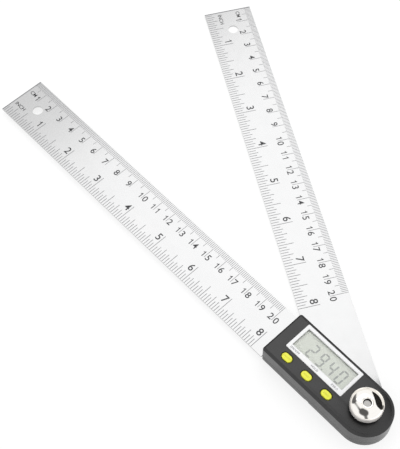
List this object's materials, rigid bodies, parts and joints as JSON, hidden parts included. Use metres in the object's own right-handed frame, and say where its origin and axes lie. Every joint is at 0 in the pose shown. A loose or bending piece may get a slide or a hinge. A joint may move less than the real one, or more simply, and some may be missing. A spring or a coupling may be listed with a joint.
{
  "type": "digital angle finder",
  "caption": "Digital angle finder: two graduated steel rules on a lockable pivot, with a keyed display head.",
  "frame": {"origin": "on the pivot axis, at the underside of the moving rule, which the tool lies on", "axes": "+X from the pivot along the fixed rule to its far end, +Z out of the display face, +Y towards the inch edge of the fixed rule"},
  "size_m": [0.2803, 0.157, 0.021],
  "materials": {
    "rule_steel": "satin stainless, printed scales",
    "shell_plastic": "moulded black, fine texture",
    "bezel_plastic": "white, smooth",
    "window": "clear acrylic",
    "display_glass": "grey-green liquid crystal",
    "white_plastic": "moulded white",
    "elastomer": "layered silicone",
    "board": "green solder mask",
    "chip": "moulded epoxy",
    "tin": "tinned",
    "key_rubber": "yellow, smooth",
    "switch_plastic": "moulded",
    "brass": "turned",
    "bright_steel": "turned, zinc plated",
    "knob_chrome": "polished, plated",
    "slip_plastic": "low-friction film",
    "copper_disc": "copper pattern on laminate"
  },
  "bodies": {
    "head": {"fixed_rule": "rule_steel", "top_housing": "shell_plastic", "bottom_housing": "shell_plastic", "display_bezel": "bezel_plastic", "display_window": "window", "display_panel": "display_glass", "display_holder": "white_plastic", "upper_contact_strip": "elastomer", "lower_contact_strip": "elastomer", "circuit_board": "board", "controller_chip": "chip", "timing_crystal": "tin", "board_capacitors": "tin", "power_switch": "switch_plastic", "hold_switch": "switch_plastic", "zero_switch": "switch_plastic", "pivot_bush": "brass", "battery_cell": "bright_steel", "battery_holder": "white_plastic", "negative_contact": "bright_steel", "positive_contact": "bright_steel", "housing_screws": "bright_steel", "board_screws": "bright_steel", "rule_rivets": "bright_steel"},
    "arm": {"moving_rule": "rule_steel", "pivot_hub": "bright_steel", "rotor_disc": "copper_disc", "friction_washer": "slip_plastic", "pivot_bolt": "bright_steel", "hub_screws": "bright_steel", "knob_washer": "bright_steel"},
    "knob": {"lock_knob": "knob_chrome"},
    "power_key": {"power_button": "key_rubber", "power_plunger": "white_plastic"},
    "hold_key": {"hold_button": "key_rubber", "hold_plunger": "white_plastic"},
    "zero_key": {"zero_button": "key_rubber", "zero_plunger": "white_plastic"},
    "door": {"battery_door": "shell_plastic"}
  },
  "joints": [
    {"name": "arm_swing", "type": "hinge", "parent": "head", "child": "arm", "pos_m": [0, 0, 0], "axis": [0, 0, 1], "continuous": true},
    {"name": "knob_turn", "type": "hinge", "parent": "arm", "child": "knob", "pos_m": [0, 0, 0.0136], "axis": [0, 0, 1], "range_deg": [0, 360]},
    {"name": "door_turn", "type": "hinge", "parent": "head", "child": "door", "pos_m": [0.0245, 0, 0.0018], "axis": [0, 0, 1], "range_deg": [0, 40]},
    {"name": "power_press", "type": "slide", "parent": "head", "child": "power_key", "axis": [0, 0, -1], "range_m": [0, 0.0004], "stiffness_N_per_m": 400},
    {"name": "hold_press", "type": "slide", "parent": "head", "child": "hold_key", "axis": [0, 0, -1], "range_m": [0, 0.0004], "stiffness_N_per_m": 400},
    {"name": "zero_press", "type": "slide", "parent": "head", "child": "zero_key", "axis": [0, 0, -1], "range_m": [0, 0.0004], "stiffness_N_per_m": 400}
  ]
}
